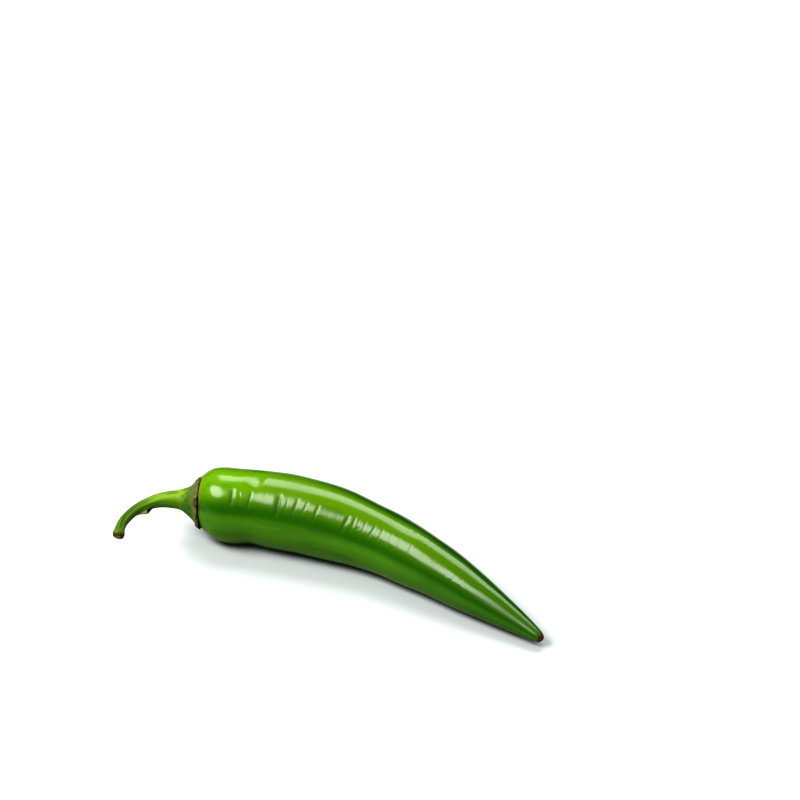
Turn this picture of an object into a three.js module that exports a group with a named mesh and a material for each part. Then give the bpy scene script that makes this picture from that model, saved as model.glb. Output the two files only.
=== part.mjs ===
// A fresh green chilli pepper, as picked, lying on its side.
// Three pieces: the pod, a long tapering fruit that curves to one side; the calyx, the shallow
// cap that flares over the pod's shoulder; and the stem, which hooks away from the calyx and
// ends in a swollen scar. They grow in one line, so each is turned about one curved spine.
//
// Millimetres, +Z up. The origin is the centre of the underside of the bounding box, the length
// runs along X with the pod's tip towards +X, and the pod curves towards +Y. It lies on Z = 0.
import * as THREE from "three";

// ---- Driving dimensions ----

// The spine, from the cut end of the stem to the tip of the pod: [x, y, height].
const spinePoints = [
  [-66, -22.4, 5.2], [-67.1, -17.9, 8], [-65.9, -12, 10.1], [-62.3, -6.4, 11.1],
  [-56.9, -2.4, 11.2], [-51.5, -0.2, 11], [-34.1, 6.5, 11.2], [-15.5, 11, 11],
  [5.1, 13, 9.5], [25.5, 10.8, 7.8], [45.5, 7, 5.5], [59.7, 4.2, 3.8], [69.5, 2.5, 2.9],
];

// Outlines: [radius, distance along the spine from the cut end of the stem].
const stemOutline = [
  [1.3, 0], [1.62, 0.3], [1.78, 0.9], [1.7, 1.6], [1.45, 2.6], [1.4, 5], [1.42, 9],
  [1.6, 13], [1.9, 16.5], [2.25, 19.7], [2.6, 22.5], [2.85, 24.5],
];
const calyxOutline = [
  [2.85, 24.8], [3.3, 25.9], [4, 27.6], [4.85, 28.95], [5.9, 30.05], [7.2, 30.85],
  [8.1, 31.3], [8.3, 31.6], [8.05, 31.7], [6.4, 30.9], [3.5, 30.4], [1.5, 30.3],
];
const podOutline = [
  [2, 30.6], [3.6, 30.7], [6.3, 31.2], [7.9, 32.1], [9.2, 33.7], [10.6, 36], [11.3, 39],
  [11.4, 43.5], [11.3, 50], [11.4, 60], [11.2, 70], [10.4, 81], [9.6, 92], [8.8, 104],
  [7.6, 116], [6.3, 127], [4.8, 136], [3.45, 143.5], [2.4, 149.5], [1.75, 152.5], [1.35, 153.7],
  [0.7, 154.4],
];

// Fineness: steps between two points of an outline, and sides around the spine.
const stepsPerPoint = 2;
const stemSides = 16;
const calyxSides = 36;
const podSides = 40;

// ---- Building blocks ----

const upright = new THREE.Vector3(0, 0, 1);

// A smooth line through a list of points.
function smoothLine(points) {
  return new THREE.CatmullRomCurve3(points.map(([x, y, z = 0]) => new THREE.Vector3(x, y, z)));
}

const spine = smoothLine(spinePoints);
const spineLength = spine.getLength();

// Turns an outline about the Y axis, with a flat face closing each end.
function turn(outline, sides) {
  const line = smoothLine(outline).getPoints(stepsPerPoint * (outline.length - 1));
  const onAxis = ({ y }) => new THREE.Vector3(0, y, 0);
  return new THREE.LatheGeometry([onAxis(line[0]), ...line, onAxis(line.at(-1))], sides);
}

// Bends a turned shape so that its Y axis follows the spine. Whatever would come below the
// surface that the chilli lies on is pressed flat against it.
function bendAlongSpine(geometry) {
  const vertices = geometry.getAttribute("position");
  for (let i = 0; i < vertices.count; i++) {
    const share = vertices.getY(i) / spineLength;
    const forward = spine.getTangentAt(share);
    const right = forward.clone().cross(upright).normalize();
    const raised = right.clone().cross(forward);
    const place = spine.getPointAt(share)
      .addScaledVector(right, vertices.getX(i))
      .addScaledVector(raised, vertices.getZ(i));
    vertices.setXYZ(i, place.x, place.y, Math.max(place.z, 0));
  }
  geometry.computeVertexNormals();
  return geometry;
}

// A named piece of the chilli, turned from its outline and bent along the spine.
function grow(name, outline, sides, color, roughness) {
  const material = new THREE.MeshStandardMaterial({ color, roughness, metalness: 0 });
  const piece = new THREE.Mesh(bendAlongSpine(turn(outline, sides)), material);
  piece.name = name;
  return piece;
}

// ---- The chilli ----

const chilli = new THREE.Group();
chilli.add(
  grow("pod", podOutline, podSides, "#4f8f14", 0.28),
  grow("calyx", calyxOutline, calyxSides, "#4c7416", 0.6),
  grow("stem", stemOutline, stemSides, "#5e8c1c", 0.5),
);

export default chilli;
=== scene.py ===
import math

import bpy
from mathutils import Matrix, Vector, geometry, noise


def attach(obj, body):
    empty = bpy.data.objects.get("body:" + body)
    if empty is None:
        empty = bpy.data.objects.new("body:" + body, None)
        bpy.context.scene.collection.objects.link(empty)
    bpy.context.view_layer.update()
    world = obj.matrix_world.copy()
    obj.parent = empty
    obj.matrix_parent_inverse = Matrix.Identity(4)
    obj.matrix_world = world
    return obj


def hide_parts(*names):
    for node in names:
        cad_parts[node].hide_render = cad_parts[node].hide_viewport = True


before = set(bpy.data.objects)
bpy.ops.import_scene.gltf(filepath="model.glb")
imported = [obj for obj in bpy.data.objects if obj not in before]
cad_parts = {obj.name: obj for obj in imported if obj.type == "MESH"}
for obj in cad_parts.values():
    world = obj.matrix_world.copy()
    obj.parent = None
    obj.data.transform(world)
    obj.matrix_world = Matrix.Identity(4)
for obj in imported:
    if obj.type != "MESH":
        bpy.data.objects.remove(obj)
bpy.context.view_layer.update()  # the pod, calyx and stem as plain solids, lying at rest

mm = 0.001
upright = Vector((0, 0, 1))

# The middle line of the whole chilli in mm, from the cut end of the stem to the tip of the pod.
spinePoints = [
    (-66, -22.4, 5.2), (-67.1, -17.9, 8), (-65.9, -12, 10.1), (-62.3, -6.4, 11.1),
    (-56.9, -2.4, 11.2), (-51.5, -0.2, 11), (-34.1, 6.5, 11.2), (-15.5, 11, 11),
    (5.1, 13, 9.5), (25.5, 10.8, 7.8), (45.5, 7, 5.5), (59.7, 4, 3.8), (69.3, 1.5, 2.7),
]


# A smooth line through points, with the same number of steps between each two of them.
def smoothLine(points, steps):
    through = [Vector(point).to_3d() for point in points]
    through = [2 * through[0] - through[1], *through, 2 * through[-1] - through[-2]]
    line = []
    for a, b, c, d in zip(through, through[1:], through[2:], through[3:]):
        ab, bc, cd = (math.sqrt((q - p).length) for p, q in ((a, b), (b, c), (c, d)))
        leaving = ((b - a) / ab - (c - a) / (ab + bc) + (c - b) / bc) * bc
        arriving = ((c - b) / bc - (d - b) / (bc + cd) + (d - c) / cd) * bc
        line += geometry.interpolate_bezier(b, b + leaving / 3, c - arriving / 3, c, steps + 1)[:-1]
    return line + [through[-2]]


# How far along a line each of its points is.
def measured(line):
    reach = [0]
    for a, b in zip(line, line[1:]):
        reach.append(reach[-1] + (b - a).length)
    return reach


# The point at a distance along a line. Past an end the line goes on straight.
def travel(line, reach, distance):
    low, high = 0, len(line) - 2
    while low < high:
        middle = (low + high + 1) // 2
        if reach[middle] <= distance:
            low = middle
        else:
            high = middle - 1
    share = (distance - reach[low]) / (reach[low + 1] - reach[low])
    return line[low].lerp(line[low + 1], share)


# Points along a line, set close together near its two ends and wider between them.
def spaced(line, finest, widest):
    widening = 0.08
    reach = measured(line)
    places = [0]
    while places[-1] < reach[-1]:
        nearestEnd = max(min(places[-1], reach[-1] - places[-1]), 0)
        places.append(places[-1] + min(widest, finest + widening * nearestEnd))
    return [travel(line, reach, place * reach[-1] / places[-1]) for place in places]


spine = smoothLine(spinePoints, steps=48)
spineReach = measured(spine)


# A place beside the spine: mm along it, then mm to its right and above it.
def besideSpine(along, right, above):
    step = 0.2
    forward = travel(spine, spineReach, along + step) - travel(spine, spineReach, along - step)
    side = forward.cross(upright).normalized()
    lifted = side.cross(forward).normalized()
    return travel(spine, spineReach, along) + side * right + lifted * above


# Smooth change from 0 to 1 as value goes from low to high.
def ease(value, low, high):
    share = min(max((value - low) / (high - low), 0), 1)
    return share * share * (3 - 2 * share)


# A smooth hill: 1 at 0, down to 0 at 1 and at -1.
def hill(distance):
    return 1 - ease(abs(distance), 0, 1)


# Across a fold in the skin: 0 at -1 and at 1, a gentle side down and a steep side up again.
def foldDip(across):
    bottom = 0.4
    return ease(across, -1, bottom) * (1 - ease(across, bottom, 1))


# How far round from one angle to another, in degrees from -180 to 180.
def degreesFrom(centre, angle):
    return (math.degrees(angle) - centre + 180) % 360 - 180


# Smooth unevenness of a round piece, from about -1 to 1: grain mm long, and finer around for more turns.
def uneven(angle, along, turns, grain, seed):
    spread = 1.4
    place = Vector((turns * math.cos(angle), turns * math.sin(angle), along / grain + seed))
    return spread * noise.noise(place)


# The calyx and the shoulder under it are seated a little askew. They move by mm along the spine, more
# and more over the first stretch, and less and less over the last.
seating = {"shift": 1.1, "towards": 116, "rimRadius": 8.3, "start": (27, 31), "end": (33, 42)}


def seatShift(angle, radius, along):
    share = math.cos(angle - math.radians(seating["towards"])) * radius / seating["rimRadius"]
    return seating["shift"] * share * ease(along, *seating["start"]) * (1 - ease(along, *seating["end"]))


# Draws an outline of (radius, distance along) in mm from a single vertex, and spins it about Z. The
# outline is a list of smooth stretches, with a corner where one ends and the next begins.
def spinOutline(name, outline, sides, finest, widest):
    line = [Vector(outline[0][0]).to_3d()]
    for stretch in outline:
        line += spaced(smoothLine(stretch, steps=24), finest, widest)[1:]
    points = [Vector((point.x, 0, point.y)) * mm for point in line]
    points[0].x = points[-1].x = 0
    bpy.ops.object.select_all(action="DESELECT")
    bpy.ops.mesh.primitive_plane_add(size=mm)
    piece = bpy.context.object
    piece.name = piece.data.name = name
    bpy.ops.object.mode_set(mode="EDIT")
    bpy.ops.mesh.merge(type="CENTER")
    bpy.ops.transform.translate(value=points[0])
    for here, there in zip(points, points[1:]):
        bpy.ops.mesh.extrude_vertices_move(TRANSFORM_OT_translate={"value": there - here})
    bpy.ops.mesh.select_all(action="SELECT")
    bpy.ops.mesh.spin(steps=sides, angle=2 * math.pi, center=(0, 0, 0), axis=(0, 0, 1))
    bpy.ops.mesh.select_all(action="SELECT")
    bpy.ops.mesh.remove_doubles(threshold=0.002 * mm)
    bpy.ops.mesh.normals_make_consistent(inside=False)
    bpy.ops.object.mode_set(mode="OBJECT")
    return piece


# Works a spun piece over by its relief, keeps where each point was on the straight piece and how worn
# it is for the materials (on the pod this also sets the painted shade in its folds), and lays the piece
# along the spine, pressed flat on the surface below.
def layAlongSpine(piece, relief):
    mesh = piece.data
    mesh.attributes.new("straight", "FLOAT_VECTOR", "POINT")
    mesh.attributes.new("wornAndFoldShade", "FLOAT", "POINT")
    straight, wornAndFoldShade = mesh.attributes["straight"].data, mesh.attributes["wornAndFoldShade"].data
    for vertex, kept, wear in zip(mesh.vertices, straight, wornAndFoldShade):
        along = vertex.co.z / mm
        radius = math.hypot(vertex.co.x, vertex.co.y) / mm
        angle = math.atan2(vertex.co.x, vertex.co.y)  # 0 on top, a quarter turn on the right
        radius, along, wear.value = relief(angle, radius, along)
        right = radius * math.sin(angle)
        above = radius * math.cos(angle)
        kept.vector = (right, above, along)
        place = besideSpine(along, right, above)
        vertex.co = place.x * mm, place.y * mm, max(place.z, 0) * mm
    bpy.ops.object.select_all(action="DESELECT")
    piece.select_set(True)
    bpy.context.view_layer.objects.active = piece
    bpy.ops.object.mode_set(mode="EDIT")
    bpy.ops.mesh.select_all(action="SELECT")
    bpy.ops.mesh.normals_make_consistent(inside=False)
    bpy.ops.object.mode_set(mode="OBJECT")
    bpy.ops.object.shade_smooth_by_angle(angle=math.radians(60))


# sRGB hex to the linear colour that the shaders work in.
def colour(hexText):
    parts = [int(hexText[i:i + 2], 16) / 255 for i in (1, 3, 5)]
    return [part / 12.92 if part <= 0.04045 else ((part + 0.055) / 1.055) ** 2.4 for part in parts] + [1]


# Adds a node with its settings. An input takes a value, a hex colour, or the node or output that feeds it.
def addNode(tree, kind, inputs={}, **settings):
    made = tree.nodes.new("ShaderNode" + kind)
    for setting, value in settings.items():
        setattr(made, setting, value)
    for socket, given in inputs.items():
        if isinstance(given, bpy.types.Node):
            given = next(output for output in given.outputs if output.enabled)
        if isinstance(given, bpy.types.NodeSocket):
            tree.links.new(given, made.inputs[socket])
        else:
            made.inputs[socket].default_value = colour(given) if isinstance(given, str) else given
    return made


def newMaterial(name):
    material = bpy.data.materials.new(name)
    material.use_nodes = True
    tree = material.node_tree
    tree.nodes.clear()
    return material, tree


# Where a point was on the straight piece, in mm, and noise laid over it in grains of (across, along) mm.
def readStraight(tree, grains):
    place = addNode(tree, "Attribute", attribute_name="straight").outputs["Vector"]
    right, above, along = addNode(tree, "SeparateXYZ", {0: place}).outputs
    across = addNode(tree, "CombineXYZ", {0: right, 1: above})
    radius = addNode(tree, "VectorMath", {0: across}, operation="LENGTH")
    at = {"place": place, "right": right, "above": above, "along": along, "radius": radius}
    for name, (wide, long) in grains.items():
        scaled = addNode(tree, "Mapping", {"Vector": place, "Scale": (1 / wide, 1 / wide, 1 / long)})
        at[name] = addNode(tree, "TexNoise", {"Vector": scaled, "Scale": 1, "Detail": 2})
    return at


# Lays tints over a colour, one on another. A tint is a colour, how strong it gets, and a (low, high) for
# each measure in its layer: it comes in as they go from low to high.
def tinted(tree, base, *layers):
    for (tint, strength, *ranges), *measures in layers:
        for measure, (low, high) in zip(measures, ranges):
            # from 0, where the measure is at low, up to the strength so far
            values = {0: measure, 1: low, 2: high, 4: strength}
            strength = addNode(tree, "MapRange", values, interpolation_type="SMOOTHSTEP")
        base = addNode(tree, "Mix", {0: strength, 6: base, 7: tint}, data_type="RGBA")
    return base


podValues = {
    # (radius, distance along) in mm
    "outline": [[
        (0, 30.6), (2, 30.6), (3.6, 30.7), (6.3, 31.2), (7.9, 32.1), (9.2, 33.7), (10.6, 36), (11.3, 39),
        (11.4, 43.5), (11.3, 50), (11.4, 60), (11.2, 70), (10.4, 81), (9.6, 92), (8.8, 104),
        (7.6, 116), (6.2, 127), (4.75, 136), (3.4, 143.5), (2.4, 149), (1.9, 151.4), (1.5, 152.7),
        (1.05, 153.3), (0.5, 153.5), (0, 153.55),
    ]],
    "sides": 168, "finest": 0.1, "widest": 0.3,
    "fullRadius": 11.4, "shoulder": (32, 38),
    "lobes": 3, "lobeTurn": 0.5, "lobeHeight": 0.2, "lobeTwist": 0.012,
    "swellHeight": 0.26, "swellLength": 11,
    # soft hollows: mm along, degrees round, how many mm long and degrees wide, mm deep
    "hollows": [
        (49.8, 6, 3.8, 34, 0.58), (45, -15, 8, 36, 0.3), (48, 135, 6, 45, 0.6), (84, 60, 8, 50, 0.15),
        (66, -110, 7, 60, 0.3), (62, -34, 36, 50, -0.35),
    ],
    # where the wax is thin: mm along, degrees round, how many mm long and degrees wide, how thin
    "dullPatches": [
        (34, 0, 5, 60, 0.4), (64, 10, 7, 40, 0.35), (113, 40, 8, 30, 0.3),
        (143, 44, 20, 24, 0.9), (150, 10, 12, 40, 0.6),
    ],
    # folds across the pod: mm along, degrees round, degrees to each side, mm wide, mm deep, mm of slant
    "folds": [
        (43.4, 46, 17, 2.6, 0.21, 0), (46.3, 46, 13, 0.8, 0.07, 0.7), (49.3, 47, 17, 1.7, 0.15, -0.4),
        (54.2, 41, 18, 0.8, 0.02, 0), (58.7, 49, 23, 2.9, 0.26, 0), (61.7, 46, 14, 0.8, 0.06, 0),
        (64.5, 46, 18, 1.4, 0.14, -0.4), (67.6, 46, 16, 0.9, 0.09, -0.6), (71.3, 48, 19, 1.3, 0.12, -0.4),
        (81.1, 49, 20, 1.7, 0.17, -0.6), (83.8, 46, 18, 1, 0.12, 0), (87.6, 41, 18, 0.8, 0.05, 0),
        (90.8, 42, 18, 1, 0.1, -0.3), (93.8, 40, 18, 0.9, 0.09, 0), (97.4, 41, 18, 0.9, 0.07, 0),
        (100.5, 41, 18, 0.9, 0.07, 0), (104.8, 45, 20, 1, 0.09, 0),
        (45, -70, 30, 1.7, 0.18, 1), (52, -95, 26, 1.3, 0.14, 0), (57, -80, 34, 1.9, 0.22, -1),
        (63, -100, 22, 1.1, 0.12, 0), (69, -85, 30, 1.5, 0.18, 0.8), (76, -95, 24, 1.2, 0.14, 0),
        (86, -80, 26, 1.3, 0.14, -0.6), (95, -90, 22, 1.1, 0.1, 0),
    ],
    "fullyWornDepth": 0.15,
    # fine wandering creases, which come in and go out over these mm along
    "creaseDepth": 0.05, "creaseLength": 1.6, "creaseWidth": 0.18, "creaseDrift": 0.8,
    "creasePatch": (-0.2, 0.3), "creaseStart": (70, 92), "creaseEnd": (126, 146),
    # the skin's tints, by how it faces the painted light or the right (1 is squarely), by mm along, or by
    # pattern
    # painted light: the shaded green is the base, a painted dark band comes in below the lit side, and a
    # lit, yellower green where the side faces the light
    "paintedLightTurn": 18, "leastRadius": 1, "shaded": "#4b8002", "paintedDarkBand": ("#2f6402", 1, (0.4, 0.66)),
    "paintedLitGreen": "#597f02", "paintedLitShoulder": ("#638f03", 1, (58, 44)), "paintedLitFacing": (0.68, 0.98),
    # painted shade: a deep green on the back of the pod, lighter again low down on it
    "paintedBackShade": "#0f4a01", "paintedBackShadeFacing": (0.1, -0.34), "paintedBackShadeAlong": (56, 92),
    "underFacing": (-0.5, -0.95), "underStrength": 0.35,
    "streak": ("#255304", 0.3, (0.5, 0.72)), "fleck": ("#688714", 0.2, (0.58, 0.78)),
    # painted shade: the fold tint darkens the folds, and also the thin-wax patches, by how worn they are
    "tip": ("#265603", 0.7, (80, 150)), "paintedFoldShade": ("#255304", 0.5, (0.3, 1)),
    # painted highlight on the pod's edge by the calyx, and painted shade in the gap under its rim
    "paintedJointHighlight": ("#7c8638", 0.45, (33.6, 32.6)), "paintedGapShade": ("#161504", 1, (32.6, 32.2), (-4, 1)),
    "scab": "#3d1d0c", "scabLight": ("#6a4a2a", 1, (0.45, 0.6)),
    "dryFrom": (153.2, 153.6), "dryWander": 1.2,
    # streaks 3 mm wide, flecks under 1 mm, and the orange peel of the wax
    "grains": {
        "streak": (3, 22), "fleck": (0.7, 1.1), "dry": (0.8, 0.8), "scab": (0.4, 0.4), "thin": (5, 9),
        "peel": (0.9, 0.9),
    },
    "peelDetail": 3, "peelDepth": 0.008,
    "ior": 1.4, "roughness": 0.17, "wornRoughness": 0.2, "dryRoughness": 0.4,
    "thinWax": 0.16, "thinFrom": (0.42, 0.7),
}


def podRelief(angle, radius, along):
    form = podValues
    size = radius / form["fullRadius"]
    shoulder = form["shoulder"]
    lobe = math.cos(form["lobes"] * (angle - form["lobeTurn"]) + form["lobeTwist"] * (along - shoulder[0]))
    swell = uneven(angle, along, 0.9, form["swellLength"], 3)
    change = form["lobeHeight"] * lobe + form["swellHeight"] * swell * ease(along, *shoulder)
    for place, centre, length, width, depth in form["hollows"]:
        if abs(along - place) < length:
            change -= depth * hill((along - place) / length) * hill(degreesFrom(centre, angle) / width)
    wornAndFoldShade = 0
    for place, centre, length, width, thinness in form["dullPatches"]:
        if abs(along - place) < length:
            patch = hill((along - place) / length) * hill(degreesFrom(centre, angle) / width)
            wornAndFoldShade = max(wornAndFoldShade, thinness * patch)
    for place, centre, reach, width, depth, slant in form["folds"]:
        if abs(along - place) < width + abs(slant):
            turned = degreesFrom(centre, angle) / reach
            across = 2 * (along - place - slant * turned) / width
            strength = 1 - ease(abs(turned), 0.4, 1)
            change -= depth * strength * foldDip(across)
            # how deep a fold is sets how worn it is, and so its painted shade too
            wornAndFoldShade = max(wornAndFoldShade, strength * hill(across) * min(depth / form["fullyWornDepth"], 1))
    drift = form["creaseDrift"] * uneven(angle, along, 1.4, 14, 20)
    furrow = abs(uneven(angle, along + drift, 0.8, form["creaseLength"], 40))
    crease = 1 - ease(furrow, 0, form["creaseWidth"])
    creased = ease(uneven(angle, along, 1.2, 18, 70), *form["creasePatch"])
    creased *= ease(along, *form["creaseStart"]) * (1 - ease(along, *form["creaseEnd"]))
    change -= form["creaseDepth"] * crease * creased
    return radius + size * change, along + seatShift(angle, radius, along), wornAndFoldShade


# A fresh chilli's skin is a thin, smooth layer of wax over green flesh. The wax gives it a clear, wet
# looking gloss that shows every fold. Light and shade are painted into the green: a lit, yellower green on
# the side turned to the light, a painted dark band below it, painted shade on the back and in the folds,
# and a painted highlight and shade where the calyx meets the pod.
def waxyChilliSkin():
    look = podValues
    material, tree = newMaterial("waxyChilliSkin")
    at = readStraight(tree, look["grains"])
    thick = addNode(tree, "Math", {0: at["radius"], 1: look["leastRadius"]}, operation="MAXIMUM")
    turn = math.radians(look["paintedLightTurn"])
    paintedLightDirection = (math.sin(turn), math.cos(turn), 0)
    paintedLightward = addNode(tree, "VectorMath", {0: at["place"], 1: paintedLightDirection}, operation="DOT_PRODUCT")
    facing = addNode(tree, "Math", {0: paintedLightward, 1: thick}, operation="DIVIDE")
    sideways = addNode(tree, "Math", {0: at["right"], 1: thick}, operation="DIVIDE")
    # painted light: the lit green, yellower towards the shoulder
    paintedLitGreen = tinted(tree, look["paintedLitGreen"], (look["paintedLitShoulder"], at["along"]))
    # painted shade: deep green on the back, and lighter again low down on it
    low, high = look["underFacing"]
    values = {0: sideways, 1: low, 2: high, 3: 1, 4: look["underStrength"]}
    under = addNode(tree, "MapRange", values, interpolation_type="SMOOTHSTEP")
    paintedBackShade = (look["paintedBackShade"], under, look["paintedBackShadeFacing"], look["paintedBackShadeAlong"])
    # the dry end of the flower at the very tip
    values = {0: at["dry"], 1: look["dryWander"], 2: at["along"]}
    edge = addNode(tree, "Math", values, operation="MULTIPLY_ADD")
    scab = tinted(tree, look["scab"], (look["scabLight"], at["scab"]))
    wornAndFoldShade = addNode(tree, "Attribute", attribute_name="wornAndFoldShade").outputs["Fac"]
    green = tinted(
        tree, look["shaded"],
        # painted light and shade by how the skin faces the light: a dark band, then the lit green
        (look["paintedDarkBand"], facing),
        ((paintedLitGreen, 1, look["paintedLitFacing"]), facing),
        (paintedBackShade, sideways, at["along"]),
        (look["streak"], at["streak"]),
        (look["fleck"], at["fleck"]),
        (look["tip"], at["along"]),
        # a painted highlight along the edge where the calyx sits on the pod, and painted shade in the gap
        # behind it
        (look["paintedJointHighlight"], at["along"]),
        (look["paintedGapShade"], at["along"], at["right"]),
        ((scab, 1, look["dryFrom"]), edge),
        # painted shade in the folds and thin-wax patches
        (look["paintedFoldShade"], wornAndFoldShade),
    )
    # duller in the folds, where the wax is thin and at the dry end
    low, high = look["thinFrom"]
    values = {0: at["thin"], 1: low, 2: high, 4: look["thinWax"]}
    thin = addNode(tree, "MapRange", values, interpolation_type="SMOOTHSTEP")
    dull = addNode(tree, "Math", {0: thin, 1: wornAndFoldShade}, operation="ADD")
    values = {0: dull, 1: look["wornRoughness"], 2: look["roughness"]}
    roughness = addNode(tree, "Math", values, operation="MULTIPLY_ADD")
    low, high = look["dryFrom"]
    values = {0: edge, 1: low, 2: high, 4: look["dryRoughness"]}
    dry = addNode(tree, "MapRange", values, interpolation_type="SMOOTHSTEP")
    roughness = addNode(tree, "Math", {0: roughness, 1: dry}, operation="ADD")
    at["peel"].inputs["Detail"].default_value = look["peelDetail"]
    values = {"Strength": 1, "Distance": look["peelDepth"] * mm, "Height": at["peel"]}
    peel = addNode(tree, "Bump", values)
    values = {"Base Color": green, "Roughness": roughness, "IOR": look["ior"], "Normal": peel}
    shader = addNode(tree, "BsdfPrincipled", values)
    addNode(tree, "OutputMaterial", {"Surface": shader})
    return material


def makePod():
    form = podValues
    pod = spinOutline("podSkin", form["outline"], form["sides"], form["finest"], form["widest"])
    layAlongSpine(pod, podRelief)
    pod.data.materials.append(waxyChilliSkin())
    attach(pod, "root")
    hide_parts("pod")
    print("pod:", len(pod.data.polygons), "faces")


makePod()


# The calyx and the stem grow into each other, so one relief and one green serve both. The green has
# painted light: lighter on top and painted shade under, with soft furrows and paler veins along it.
stalkValues = {
    "sides": 144, "endRound": (0.9, 1.5),
    "ridges": 5, "ridgeHeight": 0.1, "ridgeTwist": 0.05, "ridgeUneven": 0.7, "ridgeStart": (0.8, 3.5),
    "ribHeight": 0.22, "flare": (25, 29),
    # the calyx's rim, by radius: how it wavers, where it is cut back on top and where it stands open
    "rim": (6.2, 8.2), "rimWander": 0.45, "rimLift": 0.4, "rimFall": 0.6,
    "rimTopCut": 1.0, "rimTopTurn": -30, "rimTopWidth": 75,
    "rimOpen": 0.55, "rimOpenTurn": 100, "rimOpenWidth": 70,
    # the scale leaf's scar: mm along, degrees round, mm long before and after its crest, degrees wide and
    # mm high
    "scarAt": 13.9, "scarTurn": 138, "scarRise": 4, "scarFall": 2.6, "scarWidth": 62, "scarHeight": 1.1,
    # painted light: the under green is the shaded underside and the top tint the lit top
    "leastRadius": 0.6, "under": "#48790c", "paintedLitTop": ("#73960c", 1, (-0.5, 0.95)),
    "furrow": ("#264c0a", 0.55, (0.48, 0.66)), "vein": ("#6d8e30", 0.35, (0.54, 0.7)),
    "grains": {"furrow": (1.1, 14), "vein": (0.8, 9), "fibre": (0.35, 1.05)},
    "fibreDepth": 0.015, "roughness": 0.5, "ior": 1.35,
}
calyxValues = {
    "outline": [[(0, 24.5), (2.86, 24.5)], [
        (2.86, 24.5), (3.02, 25.2), (3.3, 26.1), (3.75, 27.2), (4.4, 28.3), (5.3, 29.3),
        (6.3, 30.1), (7.15, 30.75), (7.7, 31.2), (8.05, 31.6), (8.28, 31.95), (8.22, 32.17), (7.95, 32.05),
        (7.3, 31.58), (6.4, 31.05), (4.5, 30.6), (2, 30.4), (0, 30.4),
    ]],
    "finest": 0.1, "widest": 0.16,
    # tints by radius and height, with an uneven edge at the rim: painted shade in the flaring neck and a
    # painted grey sheen on top
    "paintedNeckShade": ("#1f4a06", 0.55, (2.9, 4.4), (7, 5.2)), "paintedTopSheen": ("#59683c", 0.75, (3, 5.2), (1.5, 5)),
    "olive": ("#5c6434", 0.85, (7, 8.8)), "corkFrom": (8.3, 9.3), "edgeWander": 2.6,
    "corkDark": "#3e2b14", "cork": ("#75683c", 1, (0.4, 0.6)), "corkPink": ("#8f6e56", 1, (0.54, 0.66)),
    # painted shade: the cork darker on its underside
    "paintedCorkShade": ("#3e2b14", 0.6, (2, -5)),
    "grains": {"edge": (1.3, 1.3), "cork": (1.6, 1.6), "pink": (2.6, 2.6)},
    "corkRoughness": 0.75,
}
stemValues = {
    "outline": [[
        (0, 0.36), (0.65, 0.3), (0.95, 0.14), (1.25, 0.05), (1.6, 0.3), (1.84, 0.9), (1.84, 1.5),
        (1.66, 2.3), (1.5, 3.3), (1.46, 4.6), (1.5, 7), (1.56, 10), (1.66, 13), (1.9, 16.5), (2.25, 19.7),
        (2.6, 22.5), (2.86, 24.5),
    ], [(2.86, 24.5), (0, 24.5)]],
    "finest": 0.08, "widest": 0.2,
    # tints by mm along, and some by pattern, by radius or by how far out they stand too; the hook's darker
    # green and the scar's dark side are painted shade
    "russet": ("#6a4a14", 0.5, (10, 2), (0.46, 0.66)), "paintedHookShade": ("#2f5e08", 0.6, (17, 9)),
    # painted shade on the far side of the scar
    "scar": "#b0ae72", "paintedScarShade": "#1e1a08", "scarTurnOver": (-0.3, 0.1),
    "scarOut": (1.62, 1.86), "scarStart": (10.4, 11.2), "scarEnd": (17.5, 16.5),
    "collar": "#4c3a10", "collarAlong": (2, 1), "collarWander": 1.4, "collarRoughness": 0.7,
    "pith": ("#7f8430", 1, (0.46, 0.38), (1.15, 0.8)),
    "grains": {"patch": (1.2, 3), "collar": (0.9, 0.9)},
}


def stalkRelief(angle, radius, along):
    form = stalkValues
    body = ease(radius, *form["endRound"])
    ridge = math.cos(form["ridges"] * angle + form["ridgeTwist"] * along)
    ridge += form["ridgeUneven"] * uneven(angle, along, 2.2, 9, 12)
    height = form["ridgeHeight"] + (form["ribHeight"] - form["ridgeHeight"]) * ease(along, *form["flare"])
    change = body * height * ridge * ease(along, *form["ridgeStart"])
    before = along - form["scarAt"]
    length = form["scarRise"] if before < 0 else form["scarFall"]
    if abs(before) < length:
        across = degreesFrom(form["scarTurn"], angle) / form["scarWidth"]
        change += form["scarHeight"] * hill(before / length) * hill(across) * body
    rim = ease(radius, *form["rim"])
    change += rim * form["rimWander"] * uneven(angle, 0, 4.2, 1, 33)
    change -= rim * form["rimTopCut"] * hill(degreesFrom(form["rimTopTurn"], angle) / form["rimTopWidth"])
    along += rim * form["rimLift"] * (uneven(angle, 0, 4.5, 1, 51) - form["rimFall"])
    along -= rim * form["rimOpen"] * hill(degreesFrom(form["rimOpenTurn"], angle) / form["rimOpenWidth"])
    return radius + change, along + seatShift(angle, radius, along), rim


def stalkGreen(tree, at):
    look = stalkValues
    thick = addNode(tree, "Math", {0: at["radius"], 1: look["leastRadius"]}, operation="MAXIMUM")
    height = addNode(tree, "Math", {0: at["above"], 1: thick}, operation="DIVIDE")
    furrow, vein = (look["furrow"], at["furrow"]), (look["vein"], at["vein"])
    # painted light: lighter towards the top
    return tinted(tree, look["under"], (look["paintedLitTop"], height), furrow, vein)


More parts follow.
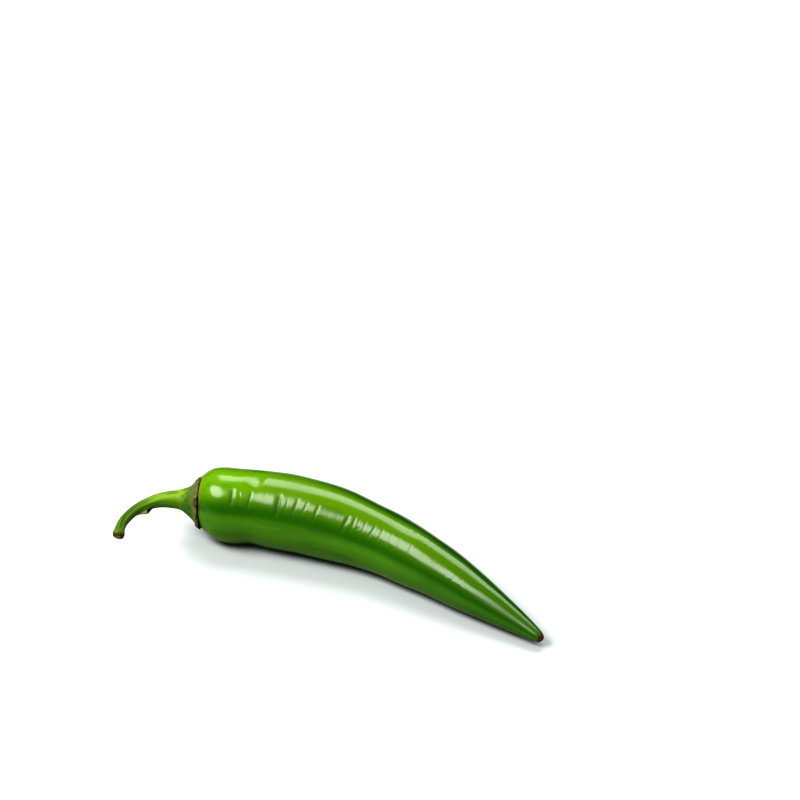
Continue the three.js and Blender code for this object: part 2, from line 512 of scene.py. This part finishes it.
# Ends the calyx's or the stem's material, with the fibres raised in it.
def fibrousSurface(tree, at, green, roughness):
    look = stalkValues
    values = {"Strength": 1, "Distance": look["fibreDepth"] * mm, "Height": at["fibre"]}
    fibres = addNode(tree, "Bump", values)
    values = {"Base Color": green, "Roughness": roughness, "IOR": look["ior"], "Normal": fibres}
    shader = addNode(tree, "BsdfPrincipled", values)
    addNode(tree, "OutputMaterial", {"Surface": shader})


# The calyx is tough green leaf tissue with a satin skin, a painted grey sheen over its top and painted
# shade in its flaring neck. Its rim has dried to a rough, olive and then pinkish brown cork, with painted
# shade under it.
def calyxLeaf():
    look = calyxValues
    material, tree = newMaterial("calyxLeaf")
    grains = {**stalkValues["grains"], **look["grains"]}
    at = readStraight(tree, grains)
    values = {0: at["edge"], 1: look["edgeWander"], 2: at["radius"]}
    edge = addNode(tree, "Math", values, operation="MULTIPLY_ADD")
    cork = tinted(
        tree, look["corkDark"],
        (look["cork"], at["cork"]),
        (look["corkPink"], at["pink"]),
        # painted shade on the cork's underside
        (look["paintedCorkShade"], at["above"]),
    )
    green = tinted(
        tree, stalkGreen(tree, at),
        # painted shade in the flaring neck
        (look["paintedNeckShade"], at["radius"], at["radius"]),
        # a painted grey sheen over the top
        (look["paintedTopSheen"], at["radius"], at["above"]),
        (look["olive"], edge),
        ((cork, 1, look["corkFrom"]), edge),
    )
    low, high = look["corkFrom"]
    values = {0: edge, 1: low, 2: high, 3: stalkValues["roughness"], 4: look["corkRoughness"]}
    roughness = addNode(tree, "MapRange", values, interpolation_type="SMOOTHSTEP")
    fibrousSurface(tree, at, green, roughness)
    return material


# The stem is a ridged green stalk with a satin skin, with painted shade over its hook. It has dried brown
# at the collar where it left the plant, its cut face is dull pith, and a small scale leaf has left a pale
# scar under it, with painted shade behind it.
def ridgedStalk():
    look = stemValues
    material, tree = newMaterial("ridgedStalk")
    grains = {**stalkValues["grains"], **look["grains"]}
    at = readStraight(tree, grains)
    turn = math.radians(stalkValues["scarTurn"])
    scarward = (math.sin(turn), math.cos(turn), 0)
    out = addNode(tree, "VectorMath", {0: at["place"], 1: scarward}, operation="DOT_PRODUCT")
    turnOver = tuple(stalkValues["scarAt"] + part for part in look["scarTurnOver"])
    # the pale scar, with painted shade past its crest
    scar = tinted(tree, look["scar"], ((look["paintedScarShade"], 1, turnOver), at["along"]))
    values = {0: at["collar"], 1: look["collarWander"], 2: at["along"]}
    edge = addNode(tree, "Math", values, operation="MULTIPLY_ADD")
    raised = (scar, 1, look["scarOut"], look["scarStart"], look["scarEnd"])
    green = tinted(
        tree, stalkGreen(tree, at),
        (look["russet"], at["along"], at["patch"]),
        # painted shade over the hook
        (look["paintedHookShade"], at["along"]),
        (raised, out, at["along"], at["along"]),
        ((look["collar"], 1, look["collarAlong"]), edge),
        (look["pith"], at["along"], at["radius"]),
    )
    low, high = look["collarAlong"]
    values = {0: edge, 1: low, 2: high, 3: stalkValues["roughness"], 4: look["collarRoughness"]}
    roughness = addNode(tree, "MapRange", values, interpolation_type="SMOOTHSTEP")
    fibrousSurface(tree, at, green, roughness)
    return material


def makeCalyx():
    form = calyxValues
    calyx = spinOutline("calyxCap", form["outline"], stalkValues["sides"], form["finest"], form["widest"])
    layAlongSpine(calyx, stalkRelief)
    calyx.data.materials.append(calyxLeaf())
    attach(calyx, "root")
    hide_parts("calyx")
    print("calyx:", len(calyx.data.polygons), "faces")


def makeStem():
    form = stemValues
    stem = spinOutline("stemStalk", form["outline"], stalkValues["sides"], form["finest"], form["widest"])
    layAlongSpine(stem, stalkRelief)
    stem.data.materials.append(ridgedStalk())
    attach(stem, "root")
    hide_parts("stem")
    print("stem:", len(stem.data.polygons), "faces")


makeCalyx()
makeStem()


# In mm, with the lights' places as (right, away, up) seen from the camera. The paper's width and the
# ranges over which it changes are in metres.
studio = {
    "aim": (-8.45, 45.6, 37.6), "azimuth": 32.35, "elevation": 30, "distance": 950, "lens": 141,
    "floorWidth": 12, "floorColour": "#bfc2c2", "floorSink": 0.02,
    "contactReach": 3, "contactColour": "#707270", "contactRange": (0, 0.6),
    "bounceColour": "#a0a092", "farBounce": ("#50504a", 1, (0.12, 0.4)),
    "whiteFrom": (0.22, 0.75), "paintedWashFrom": (0.044, 0.06), "paintedWashStrength": 0.9,
    "roomColour": "#ffffff", "worldColour": "#e3e5e4", "worldStrength": 0.45,
    "keyAt": (-660, -220, 850), "keySize": (860, 560), "keyPower": 12.2,
    "backAt": (70, 570, 850), "backSize": (850, 480), "backPower": 7,
    "look": "High Contrast",
}


# Directions as the camera has them: right, away from it along the floor, and up.
def cameraAxes():
    turn = math.radians(studio["azimuth"])
    right = Vector((math.cos(turn), math.sin(turn), 0))
    away = upright.cross(right)
    return right, away, upright


def addSoftbox(name, shape, place, size, power):
    at = sum((axis * (part * mm) for axis, part in zip(cameraAxes(), place)), Vector())
    bpy.ops.object.light_add(type="AREA", location=at)
    softbox = bpy.context.object
    softbox.name = name
    softbox.rotation_euler = at.to_track_quat("Z", "Y").to_euler()
    softbox.data.shape = shape
    softbox.data.size, softbox.data.size_y = size[0] * mm, size[1] * mm
    softbox.data.energy = power
    softbox.visible_camera = False


# Matt white paper. The camera sees it plain white far from the chilli, and on the left a painted wash of
# light whites out the stem's shadow.
def mattPaper():
    material, tree = newMaterial("mattPaper")
    looking = addNode(tree, "LightPath").outputs["Is Camera Ray"]
    place = addNode(tree, "TexCoord").outputs["Object"]
    distance = addNode(tree, "VectorMath", {0: place}, operation="LENGTH")
    bounce = tinted(tree, studio["bounceColour"], (studio["farBounce"], distance))
    # a little more of the shade that gathers where the pod meets the paper
    reach = studio["contactReach"] * mm
    clear = addNode(tree, "AmbientOcclusion", {"Distance": reach}).outputs["AO"]
    unshaded = (studio["floorColour"], 1, studio["contactRange"])
    shown = tinted(tree, studio["contactColour"], (unshaded, clear))
    both = addNode(tree, "Mix", {0: looking, 6: bounce, 7: shown}, data_type="RGBA")
    paper = addNode(tree, "BsdfDiffuse", {"Color": both})
    low, high = studio["whiteFrom"]
    far = addNode(tree, "MapRange", {0: distance, 1: low, 2: high}, interpolation_type="SMOOTHSTEP")
    # a painted wash of light on the left of the paper, seen by the camera only
    leftward = addNode(tree, "VectorMath", {0: place, 1: -cameraAxes()[0]}, operation="DOT_PRODUCT")
    low, high = studio["paintedWashFrom"]
    values = {0: leftward, 1: low, 2: high, 4: studio["paintedWashStrength"]}
    paintedWash = addNode(tree, "MapRange", values, interpolation_type="SMOOTHSTEP")
    plain = addNode(tree, "Math", {0: far, 1: paintedWash}, operation="MAXIMUM")
    seen = addNode(tree, "Math", {0: plain, 1: looking}, operation="MULTIPLY")
    white = addNode(tree, "Emission", {"Color": studio["roomColour"]})
    surface = addNode(tree, "MixShader", {0: seen, 1: paper, 2: white})
    addNode(tree, "OutputMaterial", {"Surface": surface})
    return material


# Soft light from all around, which the gloss doesn't mirror. The camera sees a white room.
def makeRoom(scene):
    scene.world = bpy.data.worlds.new("studio")
    scene.world.use_nodes = True
    tree = scene.world.node_tree
    tree.nodes.clear()
    values = {"Color": studio["worldColour"], "Strength": studio["worldStrength"]}
    light = addNode(tree, "Background", values)
    room = addNode(tree, "Background", {"Color": studio["roomColour"]})
    seen = addNode(tree, "LightPath").outputs["Is Camera Ray"]
    both = addNode(tree, "MixShader", {0: seen, 1: light, 2: room})
    addNode(tree, "OutputWorld", {"Surface": both})
    scene.world.cycles_visibility.glossy = False
    scene.view_settings.view_transform = "Standard"
    scene.view_settings.look = studio["look"]


def makeCamera(scene):
    aim = Vector(studio["aim"]) * mm
    tilt = math.radians(studio["elevation"])
    away = cameraAxes()[1]
    back = upright * math.sin(tilt) - away * math.cos(tilt)
    bpy.ops.object.camera_add(location=aim + back * studio["distance"] * mm)
    camera = bpy.context.object
    camera.rotation_euler = back.to_track_quat("Z", "Y").to_euler()
    camera.data.lens = studio["lens"]
    camera.data.clip_start = 0.01
    scene.camera = camera


def makeStudio():
    bpy.ops.object.select_all(action="DESELECT")
    bpy.ops.mesh.primitive_plane_add(size=studio["floorWidth"], location=(0, 0, -studio["floorSink"] * mm))
    floor = bpy.context.object
    floor.name = "floor"
    floor.data.materials.append(mattPaper())
    addSoftbox("keySoftbox", "ELLIPSE", studio["keyAt"], studio["keySize"], studio["keyPower"])
    addSoftbox("backSoftbox", "RECTANGLE", studio["backAt"], studio["backSize"], studio["backPower"])
    makeRoom(bpy.context.scene)
    makeCamera(bpy.context.scene)
    print("studio: floor, two softboxes and the camera")


makeStudio()
